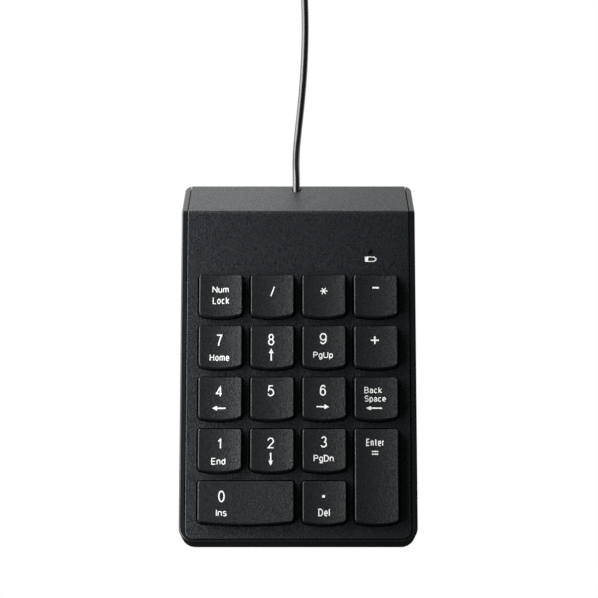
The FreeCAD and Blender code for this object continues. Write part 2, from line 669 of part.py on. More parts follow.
# The cord's route on the surface behind the object, chosen by hand.
CORD_ROUTE = [
    EXIT + V(0, -CORD_START, 0), EXIT + V(0, 3, 0), V(-1.0, 82.0, 5.3), V(-1.2, 93.0, 1.7),
    V(-0.2, 107.0, 1.45), V(1.2, 122.0, 1.4), V(2.1, 139.0, 1.4), V(2.0, 156.0, 1.4), V(1.6, 170.0, 1.9),
]
COIL_RADIUS = 16.0
COIL_MIDDLE = V(1.6 + COIL_RADIUS + 2 * CORD_R, 178.0, 0)
COIL_HALF_WIDTH = 3 * CORD_R + 0.1
COIL_BASE = 0.5
COIL_HEIGHT = 6 * CORD_R
TIE = 0.45
TIE_WIDTH = 4.0
TAIL_ROUTE = [
    V(4.5, 176.0, 5.6), V(4.6, 187.0, 5.4), V(5.4, 198.0, 4.6), V(11.0, 207.0, 4.1), V(20.5, 211.0, 4.0),
    V(30.0, 211.5, 4.0),
]
PLUG = TAIL_ROUTE[-1] + V(3.5, 0, 0)
GRIP = (26.0, 15.6, 7.6)
SLEEVE = 7.0
SHELL = (12.0, 12.0, 4.5)    # length outside the grip, width, height
SHELL_SEAT = 6.0
SHELL_WALL = 0.3
TONGUE = 1.9


def cord_coil():
    """Outer shape of the cord's put-away turns, a rounded ring."""
    tall = (COIL_BASE, COIL_BASE + COIL_HEIGHT)
    ring = tube(0, 0, tall, COIL_RADIUS + COIL_HALF_WIDTH, COIL_RADIUS - COIL_HALF_WIDTH)
    ring = ring.makeFillet(CORD_R - 0.2, [e for e in ring.Edges if len(e.Vertexes) == 1])
    ring.translate(COIL_MIDDLE)
    return ring


def cord_tie():
    """Twist tie: a flat band round the coiled turns with its two ends twisted together on top."""
    outer = (COIL_BASE - TIE, COIL_BASE + COIL_HEIGHT + TIE)
    half = COIL_HALF_WIDTH + TIE
    middle = COIL_MIDDLE + V(COIL_RADIUS, 0, 0)
    band = box((-half, half), (-TIE_WIDTH / 2, TIE_WIDTH / 2), outer)
    band = band.cut(box((-half + TIE, half - TIE), (-TIE_WIDTH, TIE_WIDTH), (outer[0] + TIE, outer[1] - TIE)))
    band.translate(middle)
    return band


def plug_grip():
    """Overmoulded grip with a tapered sleeve where the cord enters."""
    grip = Part.makeBox(GRIP[0], GRIP[1], GRIP[2], PLUG + V(0, -GRIP[1] / 2, -GRIP[2] / 2))
    grip = grip.makeFillet(1.6, [e for e in grip.Edges if abs(e.Vertexes[0].X - e.Vertexes[1].X) > 1])
    sleeve = Part.makeCone(CORD_R + 0.5, 3.2, SLEEVE, PLUG - V(SLEEVE, 0, 0), V(1, 0, 0))
    grip = joined([grip, sleeve])
    seat = Part.makeBox(SHELL_SEAT, SHELL[1], SHELL[2],
                        PLUG + V(GRIP[0] - SHELL_SEAT, -SHELL[1] / 2, -SHELL[2] / 2))
    bore = Part.makeCylinder(CORD_R, SLEEVE, PLUG - V(SLEEVE, 0, 0), V(1, 0, 0))
    return grip.cut([seat, bore])


def plug_shell():
    """Folded metal shell, open at the mouth, with the two latch holes on each broad side."""
    start = PLUG + V(GRIP[0] - SHELL_SEAT, 0, 0)
    length = SHELL_SEAT + SHELL[0]
    shell = Part.makeBox(length, SHELL[1], SHELL[2], start + V(0, -SHELL[1] / 2, -SHELL[2] / 2))
    shell = shell.makeFillet(0.5, [e for e in shell.Edges if abs(e.Vertexes[0].X - e.Vertexes[1].X) > 1])
    wide, tall = SHELL[1] - 2 * SHELL_WALL, SHELL[2] - 2 * SHELL_WALL
    cuts = [Part.makeBox(length + 2, wide, tall, start + V(SHELL_WALL, -wide / 2, -tall / 2))]
    for side in (-1, 1):
        cuts.append(Part.makeBox(2.0, 2.5, 6, start + V(SHELL_SEAT + 5.0, side * 2.9 - 1.25, -3)))
    return shell.cut(cuts)


def plug_tongue():
    """Plastic tongue that fills the lower half of the shell."""
    start = PLUG + V(GRIP[0] - SHELL_SEAT + SHELL_WALL, 0, -SHELL[2] / 2 + SHELL_WALL)
    wide = SHELL[1] - 2 * SHELL_WALL - 0.1
    return Part.makeBox(SHELL_SEAT + SHELL[0] - 0.8, wide, TONGUE, start + V(0, -wide / 2, 0.02))


def plug_contacts():
    """Four flat contacts on the tongue, the outer two longer."""
    base = -SHELL[2] / 2 + SHELL_WALL + 0.02 + TONGUE
    strips = []
    for place in (-3.5, -1.0, 1.0, 3.5):
        length = 7.6 if abs(place) > 2 else 6.6
        end = GRIP[0] + SHELL[0] - 1.2
        strips.append(Part.makeBox(length, 1.0, 0.12, PLUG + V(end - length, place - 0.5, base)))
    return Part.makeCompound(strips)


def main():
    os.makedirs("parts", exist_ok=True)
    shapes = {"bottom_case": bottom_case(), "top_case": top_cover()}
    for name in KEYS:
        shapes[name] = keycap(name)
    shapes["stabiliser_wire_0"] = stabiliser_wire("key_0")
    shapes["stabiliser_wire_enter"] = stabiliser_wire("key_enter")
    shapes["rubber_domes"] = Part.makeCompound([dome(name) for name in KEYS])
    shapes["membrane_upper"] = deck(sheet((SHEET_TOP - SHEET, SHEET_TOP), TAIL_END))
    shapes["membrane_spacer"] = membrane_spacer()
    shapes["membrane_lower"] = deck(sheet((PLATE_TOP, PLATE_TOP + SHEET), TAIL_END))
    for maker in (support_plate, circuit_board, controller_chip, board_components, lead_socket, status_led,
                  light_pipe, clamp_bar, pressure_strip, case_screws, clamp_screws, board_screws,
                  rubber_feet, rating_label, strain_relief, leads, cord_coil, cord_tie, plug_grip,
                  plug_shell, plug_tongue, plug_contacts):
        shapes[maker.__name__] = maker()
    shapes["cord"] = rounded_tube(CORD_ROUTE, CORD_R, "cord")
    shapes["cord_tail"] = rounded_tube(TAIL_ROUTE, CORD_R, "cord_tail")
    for name, shape in shapes.items():
        if not shape.isValid():
            print("NOT VALID", name)
        print(name, len(shape.Solids), round(shape.Volume, 1))
        shape.exportStep("parts/" + name + ".step")


main()
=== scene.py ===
import json
import math

import bpy
import bmesh
from mathutils import Matrix, Vector
from mathutils.bvhtree import BVHTree


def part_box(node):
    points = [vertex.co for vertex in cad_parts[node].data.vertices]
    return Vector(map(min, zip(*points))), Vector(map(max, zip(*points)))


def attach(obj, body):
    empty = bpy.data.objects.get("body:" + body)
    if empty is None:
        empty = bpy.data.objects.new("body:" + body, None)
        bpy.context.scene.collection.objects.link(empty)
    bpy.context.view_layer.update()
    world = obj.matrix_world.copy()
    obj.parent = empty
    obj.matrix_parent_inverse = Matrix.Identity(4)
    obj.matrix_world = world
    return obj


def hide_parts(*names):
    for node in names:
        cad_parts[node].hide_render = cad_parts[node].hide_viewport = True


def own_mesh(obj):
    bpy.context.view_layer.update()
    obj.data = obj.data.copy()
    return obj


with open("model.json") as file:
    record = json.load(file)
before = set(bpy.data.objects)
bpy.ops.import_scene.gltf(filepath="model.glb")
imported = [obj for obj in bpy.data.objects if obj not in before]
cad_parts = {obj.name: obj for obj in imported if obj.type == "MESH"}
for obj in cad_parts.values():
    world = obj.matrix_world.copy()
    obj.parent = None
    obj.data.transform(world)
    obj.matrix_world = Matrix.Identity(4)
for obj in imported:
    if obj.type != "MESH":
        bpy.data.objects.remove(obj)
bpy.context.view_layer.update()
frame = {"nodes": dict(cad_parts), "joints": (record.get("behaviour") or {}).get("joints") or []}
nodes = frame["nodes"]
MM = 0.001

# The deck's own directions, read from a key's joint: W is square to the deck, V runs back along it.
press = Vector(next(j for j in frame["joints"] if j["name"] == "key_5_press")["axis"])
W = -press.normalized()
U = Vector((1, 0, 0))
V = W.cross(U)
ON_DECK = Matrix((U, V, W)).transposed()
KEYS = [j["child"] for j in frame["joints"] if j["type"] == "slide"]


def deck_box(node):
    """Lowest and highest (u, v, w) of a node, measured along the deck's own directions."""
    corners = [(p.co.dot(U), p.co.dot(V), p.co.dot(W)) for p in nodes[node].data.vertices]
    return Vector(map(min, zip(*corners))), Vector(map(max, zip(*corners)))


# ---- camera, floor and light -------------------------------------------------------------------------
KEY_HIGH = deck_box("key_num_lock")[1]
VIEW_TILT = math.radians(11.77)              # the camera leans this far from square to the deck
VIEW_DISTANCE = 0.9117
VIEW_LENS = 149.23
VIEW_CLIP = (0.05, 30)
VIEW_U = 0.00027
VIEW_AHEAD = 0.00931                         # the point looked at, from the first row's rear edge
VIEW_V = KEY_HIGH.y - VIEW_AHEAD
FLOOR_HALF = 6.0
FLOOR_PAINTED_SHADE_FADE = (-0.06, 0.09)                   # from front to back, where the floor's painted glow rises: painted shadow in front of the object, painted light behind it
# strength of the floor's painted glow: painted shadow in front of the object, painted light behind it
FLOOR_PAINTED_GLOW = (0.02, 1.5)
FLOOR_PAINTED_STEP = (-0.01, 0.03)                   # behind, the floor's painted light is brighter left of the cord than right
# strength of the painted light on the floor behind, left of the cord and right of it
FLOOR_PAINTED_SIDES = (1.0, 0.68)
WORLD_STRENGTH = 0.05
SOFTBOXES = {                                # place, the point it faces, width and length, watts
    "softbox_rear": ((-0.42, 0.38, 0.20), (0.0, 0.10, 0.0), (0.5, 0.6), 8.4),
    "softbox_left": ((-0.2, -0.035, 0.13), (-0.06, -0.015, 0.02), (0.30, 0.18), 1.1),
}


def camera():
    target = ON_DECK @ Vector((VIEW_U, VIEW_V, KEY_HIGH.z))
    away = ON_DECK @ Vector((0, -math.sin(VIEW_TILT), math.cos(VIEW_TILT)))
    data = bpy.data.cameras.new("camera")
    data.lens = VIEW_LENS
    data.clip_start, data.clip_end = VIEW_CLIP
    eye = bpy.data.objects.new("camera", data)
    eye.location = target + away * VIEW_DISTANCE
    up = away.cross(U)
    eye.rotation_euler = Matrix((U, up, away)).transposed().to_euler()
    bpy.context.scene.collection.objects.link(eye)
    bpy.context.scene.camera = eye


def new_object(name, mesh):
    obj = bpy.data.objects.new(name, mesh)
    bpy.context.scene.collection.objects.link(obj)
    return obj


def area_light(name, place, aim, size, power):
    data = bpy.data.lights.new(name, "AREA")
    data.shape = "RECTANGLE"
    data.size, data.size_y = size
    data.energy = power
    lamp = new_object(name, data)
    lamp.location = place
    lamp.rotation_euler = (Vector(aim) - Vector(place)).to_track_quat("-Z", "Y").to_euler()


def floor_material():
    """White to the camera. To everything else it glows with painted light behind the object and painted
    shadow in front of it.
    """
    made = bpy.data.materials.new("floor_white_painted_glow")
    made.use_nodes = True
    tree = made.node_tree
    tree.nodes.clear()
    place = tree.nodes.new("ShaderNodeTexCoord")
    split = tree.nodes.new("ShaderNodeSeparateXYZ")
    fall = tree.nodes.new("ShaderNodeMapRange")
    fall.interpolation_type = "SMOOTHSTEP"
    fall.inputs["From Min"].default_value, fall.inputs["From Max"].default_value = FLOOR_PAINTED_SHADE_FADE
    fall.inputs["To Min"].default_value, fall.inputs["To Max"].default_value = FLOOR_PAINTED_GLOW
    side = tree.nodes.new("ShaderNodeMapRange")
    side.inputs["From Min"].default_value, side.inputs["From Max"].default_value = FLOOR_PAINTED_STEP
    side.inputs["To Min"].default_value, side.inputs["To Max"].default_value = FLOOR_PAINTED_SIDES
    both = tree.nodes.new("ShaderNodeMath")
    both.operation = "MULTIPLY"
    glow = tree.nodes.new("ShaderNodeEmission")
    white = tree.nodes.new("ShaderNodeEmission")
    path = tree.nodes.new("ShaderNodeLightPath")
    mix = tree.nodes.new("ShaderNodeMixShader")
    out = tree.nodes.new("ShaderNodeOutputMaterial")
    tree.links.new(place.outputs["Object"], split.inputs["Vector"])
    tree.links.new(split.outputs["Y"], fall.inputs["Value"])
    tree.links.new(split.outputs["X"], side.inputs["Value"])
    tree.links.new(fall.outputs["Result"], both.inputs[0])
    tree.links.new(side.outputs["Result"], both.inputs[1])
    # the glow's strength is painted light and shade: painted shadow in front of the object, painted light
    # behind it, brighter left of the cord
    tree.links.new(both.outputs["Value"], glow.inputs["Strength"])
    tree.links.new(path.outputs["Is Camera Ray"], mix.inputs["Fac"])
    tree.links.new(glow.outputs["Emission"], mix.inputs[1])
    tree.links.new(white.outputs["Emission"], mix.inputs[2])
    tree.links.new(mix.outputs["Shader"], out.inputs["Surface"])
    return made


def stage():
    mesh = bpy.data.meshes.new("floor")
    corners = [(-1, -1), (1, -1), (1, 1), (-1, 1)]
    mesh.from_pydata([(x * FLOOR_HALF, y * FLOOR_HALF, 0) for x, y in corners], [], [(0, 1, 2, 3)])
    mesh.materials.append(floor_material())
    new_object("floor", mesh)
    for name, (place, aim, size, power) in SOFTBOXES.items():
        area_light(name, place, aim, size, power)
    world = bpy.data.worlds.new("studio")
    world.use_nodes = True
    background = world.node_tree.nodes["Background"]
    background.inputs["Color"].default_value = (1, 1, 1, 1)
    background.inputs["Strength"].default_value = WORLD_STRENGTH
    bpy.context.scene.world = world
    bpy.context.scene.view_settings.view_transform = "Standard"


# ---- materials ---------------------------------------------------------------------------------------
NOISE_DETAIL = 3
NOISE_RANGE = (0.36, 0.64)                   # the part of the noise that a spread of roughness covers


def material(name, colour, roughness, metallic=0.0, **sockets):
    made = bpy.data.materials.new(name)
    made.use_nodes = True
    shader = made.node_tree.nodes["Principled BSDF"]
    shader.inputs["Base Color"].default_value = (*colour, 1)
    shader.inputs["Roughness"].default_value = roughness
    shader.inputs["Metallic"].default_value = metallic
    for socket, value in sockets.items():
        shader.inputs[socket.replace("_", " ")].default_value = value
    return made


def grain(made, size, height, spread=0.0):
    """Fine moulded grain: bumps of that size and height in metres, and a roughness that varies with them."""
    tree = made.node_tree
    shader = tree.nodes["Principled BSDF"]
    place = tree.nodes.new("ShaderNodeTexCoord")
    noise = tree.nodes.new("ShaderNodeTexNoise")
    noise.inputs["Scale"].default_value = 1 / size
    noise.inputs["Detail"].default_value = NOISE_DETAIL
    bump = tree.nodes.new("ShaderNodeBump")
    bump.inputs["Distance"].default_value = height
    bump.inputs["Strength"].default_value = 1.0
    tree.links.new(place.outputs["Object"], noise.inputs["Vector"])
    tree.links.new(noise.outputs["Fac"], bump.inputs["Height"])
    tree.links.new(bump.outputs["Normal"], shader.inputs["Normal"])
    if spread:
        rough = tree.nodes.new("ShaderNodeMapRange")
        middle = shader.inputs["Roughness"].default_value
        rough.inputs["From Min"].default_value, rough.inputs["From Max"].default_value = NOISE_RANGE
        rough.inputs["To Min"].default_value = middle - spread
        rough.inputs["To Max"].default_value = middle + spread
        tree.links.new(noise.outputs["Fac"], rough.inputs["Value"])
        tree.links.new(rough.outputs["Result"], shader.inputs["Roughness"])
    return made


def paint(node, made):
    mesh = nodes[node].data
    if not mesh.materials:
        mesh.materials.append(made)
    for slot in nodes[node].material_slots:
        slot.material = made


CASE = grain(material("case_plastic", (0.0072, 0.0098, 0.0114), 0.35), 0.0006, 0.00016, 0.11)
TRAY = grain(material("tray_plastic", (0.007, 0.008, 0.009), 0.24), 0.0008, 0.00001, 0.02)
KEYCAP = grain(material("key_plastic", (0.0096, 0.0118, 0.0128), 0.36), 0.0006, 0.00014, 0.10)
INK = material("legend_ink", (0.80, 0.80, 0.79), 0.5)
JACKET = grain(material("cord_jacket", (0.008, 0.0085, 0.009), 0.2, IOR=1.6), 0.002, 0.000002)
DARK = grain(material("moulded_dark", (0.02, 0.02, 0.021), 0.5), 0.0005, 0.00003)
SILICONE = material("silicone", (0.78, 0.78, 0.76), 0.45)
FILM = material("membrane_film", (0.70, 0.74, 0.74), 0.2)
STEEL = grain(material("steel_plate", (0.6, 0.61, 0.62), 0.35, 1.0), 0.0008, 0.00001, 0.06)
BOARD = grain(material("board_green", (0.03, 0.20, 0.08), 0.3), 0.003, 0.00001)
WHITE = material("socket_white", (0.80, 0.79, 0.74), 0.5)
LENS = material("light_pipe_smoke", (0.01, 0.01, 0.011), 0.12)
CLEAR = material("led_clear", (0.85, 0.86, 0.82), 0.15)
COPPER = material("component_tan", (0.45, 0.34, 0.22), 0.5)
RUBBER = grain(material("feet_rubber", (0.03, 0.03, 0.032), 0.75), 0.0006, 0.00004, 0.08)
LABEL = grain(material("label_film", (0.62, 0.63, 0.64), 0.35), 0.0006, 0.00001, 0.05)
LEAD = material("lead_jacket", (0.50, 0.08, 0.06), 0.35)
NICKEL = grain(material("plug_metal", (0.75, 0.75, 0.76), 0.2, 1.0), 0.002, 0.00001, 0.05)
GOLD = material("contact_gold", (0.85, 0.65, 0.28), 0.25, 1.0)

FINISH = {
    "bottom_case": TRAY, "top_case": CASE, "membrane_upper": FILM, "membrane_spacer": FILM,
    "membrane_lower": FILM, "support_plate": STEEL, "circuit_board": BOARD, "controller_chip": DARK,
    "board_components": COPPER, "lead_socket": WHITE, "status_led": CLEAR, "light_pipe": LENS,
    "clamp_bar": DARK, "pressure_strip": RUBBER, "case_screws": STEEL, "clamp_screws": STEEL,
    "board_screws": STEEL, "rubber_feet": RUBBER, "rating_label": LABEL, "strain_relief": RUBBER,
    "leads": LEAD, "cord_tie": DARK, "plug_grip": DARK, "plug_shell": NICKEL, "plug_tongue": WHITE,
    "plug_contacts": GOLD, "stabiliser_wire_0": STEEL, "stabiliser_wire_enter": STEEL,
    "rubber_domes": SILICONE,
}

camera()
stage()
for name, made in FINISH.items():
    paint(name, made)
for name in KEYS:
    paint(name, KEYCAP)


# ---- printed legends ---------------------------------------------------------------------------------
# A plain upright sans serif. Every glyph is its width and its strokes: x runs over the width, y from the
# base line at 0 to the capital height at 1.
STROKE = (0.132, 0.108)      # thickness of a stroke as a share of the capital height, words and digits
TRIM = 0.16                  # how far the ink stops inside each frame given below, for its soft edge
INK_SHIFT = -0.25            # the printing lies this far to the left of the keys' middles
INK_RISE = 0.0063            # and further back on the nearer rows, by this share of their distance
LETTER_GAP = 0.13
SMALL = 0.73                 # height of the small letters
TAIL = 0.27                  # how far p and g reach below the line
THIN_TRIM = 0.6              # share of TRIM that comes off the thickness of a level bar
STAR_ARM = 0.18              # half the thickness of the star's bars, in mm
SHAFT = 0.25                 # half the thickness of an arrow's shaft
TIP = 0.02                   # and of its point
HEAD_LENGTH = 1.75
HEAD_SHARE = 0.45            # the most of an arrow's length that its head takes
SHAFT_REACH = 0.8            # the shaft ends this far short of the tip, in head lengths
ARC_STEP = 15                # degrees


def arc(x, y, rx, ry, start, end):
    steps = max(4, round(abs(end - start) / ARC_STEP))
    turns = [math.radians(start + (end - start) * k / steps) for k in range(steps + 1)]
    return [(x + rx * math.cos(a), y + ry * math.sin(a)) for a in turns]


def oval(x, y, rx, ry):
    return arc(x, y, rx, ry, 90, 450)


ROUND = oval(0.5, SMALL / 2, 0.5, SMALL / 2)
SIX = [arc(0.55, 0.5, 0.55, 0.5, 38, 180), oval(0.5, 0.32, 0.5, 0.32)]
GLYPHS = {
    "0": (0.46, [oval(0.5, 0.5, 0.5, 0.5)]),
    "1": (0.25, [[(0, 0.76), (0.5, 0.83), (1, 1), (1, 0)]]),
    "2": (0.46, [arc(0.5, 0.72, 0.5, 0.28, 175, -35) + [(0, 0), (1, 0)]]),
    "3": (0.46, [arc(0.48, 0.755, 0.44, 0.245, 160, -90) + arc(0.45, 0.255, 0.55, 0.255, 90, -160)]),
    "4": (0.46, [[(1, 0.29), (0, 0.29), (0.72, 1), (0.72, 0)]]),
    "5": (0.46, [[(0.93, 1), (0.19, 1), (0.06, 0.5)] + arc(0.47, 0.33, 0.53, 0.33, 142, -155)]),
    "6": (0.46, SIX),
    "7": (0.46, [[(0, 1), (1, 1), (0.62, 0.55), (0.42, 0.22), (0.36, 0)]]),
    "8": (0.46, [oval(0.5, 0.76, 0.42, 0.24), oval(0.5, 0.265, 0.5, 0.265)]),
    "9": (0.46, [[(1 - x, 1 - y) for x, y in part] for part in SIX]),
    "/": (0.34, [[(0, 0), (1, 1)]]),
    "B": (0.52, [[(0, 0.52), (0.5, 0.52)] + arc(0.5, 0.76, 0.42, 0.24, -90, 90) + [(0, 1), (0, 0)]
                 + arc(0.5, 0.26, 0.5, 0.26, -90, 90)]),
    "D": (0.58, [[(0, 0.5), (0, 1)] + arc(0.4, 0.5, 0.6, 0.5, 90, -90) + [(0, 0), (0, 0.5)]]),
    "E": (0.50, [[(1, 1), (0, 1), (0, 0), (1, 0)], [(0, 0.52), (0.92, 0.52)]]),
    "H": (0.60, [[(0, 0), (0, 1)], [(1, 0), (1, 1)], [(0, 0.52), (1, 0.52)]]),
    "I": (0.0, [[(0, 0), (0, 1)]]),
    "L": (0.42, [[(0, 1), (0, 0), (1, 0)]]),
    "N": (0.62, [[(0, 0), (0, 1), (1, 0), (1, 1)]]),
    "P": (0.52, [[(0, 0), (0, 1), (0.5, 1)] + arc(0.5, 0.74, 0.5, 0.26, 90, -90) + [(0, 0.48)]]),
    "S": (0.52, [arc(0.5, 0.75, 0.46, 0.25, 30, 270) + arc(0.5, 0.25, 0.5, 0.25, 90, -150)]),
    "U": (0.58, [[(0, 1), (0, 0.32)] + arc(0.5, 0.32, 0.5, 0.32, 180, 360) + [(1, 1)]]),
    "a": (0.40, [[(1, 0), (1, 0.5)] + arc(0.5, 0.5, 0.48, SMALL - 0.5, 0, 165),
                 [(1, 0.42), (0.5, 0.42)] + arc(0.48, 0.21, 0.46, 0.21, 90, 270) + [(1, 0.12)]]),
    "c": (0.40, [arc(0.5, SMALL / 2, 0.5, SMALL / 2, 45, 315)]),
    "d": (0.42, [[(1, 0), (1, 1)], ROUND]),
    "e": (0.42, [[(0, SMALL / 2), (1, SMALL / 2)] + arc(0.5, SMALL / 2, 0.5, SMALL / 2, 0, 315)]),
    "g": (0.42, [[(1, SMALL), (1, 0)] + arc(0.5, 0.17 - TAIL, 0.5, 0.17, 0, -155), ROUND]),
    "k": (0.38, [[(0, 0), (0, 1)], [(1, SMALL), (0, 0.26)], [(0.36, 0.42), (1, 0)]]),
    "l": (0.0, [[(0, 0), (0, 1)]]),
    "m": (0.72, [[(0, 0), (0, SMALL)], arc(0.25, SMALL - 0.2, 0.25, 0.2, 180, 0) + [(0.5, 0)],
                 arc(0.75, SMALL - 0.2, 0.25, 0.2, 180, 0) + [(1, 0)]]),
    "n": (0.42, [[(0, 0), (0, SMALL)], arc(0.5, SMALL - 0.25, 0.5, 0.25, 180, 0) + [(1, 0)]]),
    "o": (0.42, [ROUND]),
    "p": (0.42, [[(0, SMALL), (0, -TAIL)], ROUND]),
    "r": (0.22, [[(0, 0), (0, SMALL)], arc(1, 0.4, 1, SMALL - 0.4, 180, 90)]),
    "s": (0.38, [arc(0.5, 0.55, 0.5, 0.18, 35, 270) + arc(0.5, 0.185, 0.5, 0.185, 90, -150)]),
    "t": (0.3, [[(0.45, 0.98), (0.45, 0.1), (0.9, 0)], [(0, SMALL), (1, SMALL)]]),
    "u": (0.42, [[(0, SMALL), (0, 0.25)] + arc(0.5, 0.25, 0.5, 0.25, 180, 360) + [(1, SMALL)],
                 [(1, SMALL), (1, 0)]]),
}


def word(text, middle, width, top, base):
    """Strokes of a word as (u, v, half thickness) in mm; top and base are measured from the key's rear."""
    width, top, base = width - 2 * TRIM, top + TRIM, base - TRIM / 2
    capital = base - top
    thick = STROKE[len(text) == 1] * capital
    rise = capital - thick
    widths = [GLYPHS[letter][0] * rise for letter in text]
    fixed = len(text) * thick + (len(text) - 1) * LETTER_GAP * capital
    stretch = (width - fixed) / sum(widths) if sum(widths) else 1.0
    found, left = [], middle - width / 2 + thick / 2
    for letter, wide in zip(text, widths):
        for part in GLYPHS[letter][1]:
            found.append([(left + x * wide * stretch, -base + thick / 2 + y * rise, thick / 2)
                          for x, y in part])
        left += wide * stretch + thick + LETTER_GAP * capital
    return found


def bar(start, end, half):
    return [(*start, half), (*end, half)]


def arrow(middle, width, top, base, way):
    """A filled head and a plain shaft inside that frame, pointing along way."""
    width, top, base = width - 2 * TRIM, top + TRIM, base - TRIM
    (x, y), along = way, abs(way[0]) * width + abs(way[1]) * (base - top)
    across = abs(way[1]) * width + abs(way[0]) * (base - top)
    v = -(top + base) / 2
    head = min(HEAD_LENGTH, HEAD_SHARE * along)

    def at(share):
        return middle + x * share, v + y * share

    neck, tip, end = at(along / 2 - head), at(along / 2), at(-along / 2)
    return [[(*end, SHAFT), (*at(along / 2 - SHAFT_REACH * head), SHAFT)], [(*neck, across / 2), (*tip, TIP)]]


LEFT, RIGHT, BACK, FRONT = (-1, 0), (1, 0), (0, 1), (0, -1)


def star(middle, width, top, base):
    """Three bars crossing in the middle of the frame."""
    v, reach = -(top + base) / 2, width / 2 - TRIM
    arms = []
    for k in range(3):
        a = math.radians(60 * k)
        c, s = reach * math.cos(a), reach * math.sin(a)
        arms.append(bar((middle - c, v - s), (middle + c, v + s), STAR_ARM))
    return arms


def level(middle, width, top, base):
    """One bar across the frame."""
    v = -(top + base) / 2
    half = width / 2 - TRIM
    return [bar((middle - half, v), (middle + half, v), (base - top) / 2 - THIN_TRIM * TRIM)]


def upright(middle, width, top, base):
    """One bar down the frame."""
    return [bar((middle, TRIM - base), (middle, -top - TRIM), width / 2 - TRIM / 2)]


COLUMN = 9.5                 # half a key pitch: the wide key's middle from that of its first unit
# Each frame is the ink's middle and width across the key, then its upper and its lower edge, in mm, as
# measured in the photograph through the fitted camera.
LEGENDS = {
    "key_num_lock": word("Num", 0.15, 6.32, 3.90, 6.54) + word("Lock", 0.30, 6.36, 7.98, 10.84),
    "key_divide": word("/", 0.32, 2.05, 3.83, 8.05),
    "key_multiply": star(0.15, 2.99, 4.47, 7.18),
    "key_minus": level(0.23, 2.69, 4.17, 5.00),
    "key_7": word("7", -0.22, 2.50, 3.00, 7.62) + word("Home", -0.10, 7.45, 10.30, 13.15),
    "key_8": word("8", -0.19, 2.56, 2.76, 7.28) + arrow(-0.16, 2.08, 8.21, 13.09, BACK),
    "key_9": word("9", -0.10, 2.91, 2.46, 6.87) + word("PgUp", -0.15, 7.50, 9.45, 12.05),
    "key_plus": level(-0.17, 3.25, 4.93, 5.67) + upright(-0.17, 0.74, 3.73, 6.87),
    "key_4": word("4", -0.12, 2.80, 3.25, 7.48) + arrow(-0.22, 5.15, 10.50, 12.65, LEFT),
    "key_5": word("5", -0.26, 2.70, 2.90, 7.22),
    "key_6": word("6", -0.25, 2.53, 2.74, 7.03) + arrow(-0.30, 4.93, 9.95, 12.06, RIGHT),
    "key_backspace": (word("Back", -0.92, 6.70, 3.55, 6.14) + word("Space", -0.18, 8.10, 6.75, 9.25)
                      + arrow(-0.60, 6.10, 10.60, 12.50, LEFT)),
    "key_1": word("1", 0.05, 1.61, 3.54, 7.62) + word("End", -0.29, 5.40, 10.70, 13.40),
    "key_2": word("2", -0.27, 2.64, 3.21, 7.40) + arrow(-0.27, 1.95, 8.79, 13.77, FRONT),
    "key_3": word("3", 0.07, 2.52, 2.77, 7.10) + word("PgDn", -0.03, 7.55, 9.60, 12.30),
    "key_enter": (word("Enter", -0.28, 6.80, 3.66, 6.62) + level(-0.32, 2.60, 8.20, 8.80)
                  + level(-0.32, 2.60, 9.20, 9.80)),
    "key_0": word("0", 0.94 - COLUMN, 2.69, 3.67, 8.10) + word("Ins", 0.92 - COLUMN, 4.20, 10.50, 13.25),
    "key_decimal": upright(-0.06, 1.16, 5.27, 6.54) + word("Del", 0.08, 4.50, 10.20, 13.25),
}
KEY_FLARE = 0.35             # the box of a key reaches this far beyond its top, at each edge of its skirt
INK_LIFT = 0.012
INK_STEP = 0.004             # later strokes lie a little higher, so that crossings don't share a face
INK_ROOT = 0.03
INK_SPAN = 0.6               # longest stretch of a stroke between two places that touch the key
RAY_START = 0.01             # metres above the key's box, from where a point of ink is dropped on the key
SAME = 1e-6                  # points nearer than this are one point
SHARP = 0.2                  # where a stroke turns nearly back, its two directions add up to less than this
MITRE = 0.45                 # a mitre reaches at most 1 / MITRE half thicknesses


def finely(stroke):
    """The stroke with further points, so that it follows a hollow surface."""
    points = [Vector(stroke[0])]
    for last, following in zip(stroke, stroke[1:]):
        a, b = Vector(last), Vector(following)
        count = max(1, math.ceil((b - a).length / INK_SPAN))
        points += [a.lerp(b, (k + 1) / count) for k in range(count) if (b - a).length > SAME]
    return points


def edges_of(points):
    """Left and right edge of a stroke, mitred where it bends."""
    left, right = [], []
    steps = [(b - a).xy.normalized() for a, b in zip(points, points[1:])]
    closed = (points[0] - points[-1]).length < SAME
    for k, point in enumerate(points):
        before, after = steps[max(k - 1, 0)], steps[min(k, len(steps) - 1)]
        if k == 0 and closed:
            before = steps[-1]
        if k == len(points) - 1 and closed:
            after = steps[0]
        mean = before + after
        mean = mean.normalized() if mean.length > SHARP else before
        square = Vector((-mean.y, mean.x))
        reach = point.z / max(mean.dot(before), MITRE)
        left.append(point.xy + square * reach)
        right.append(point.xy - square * reach)
    return left, right


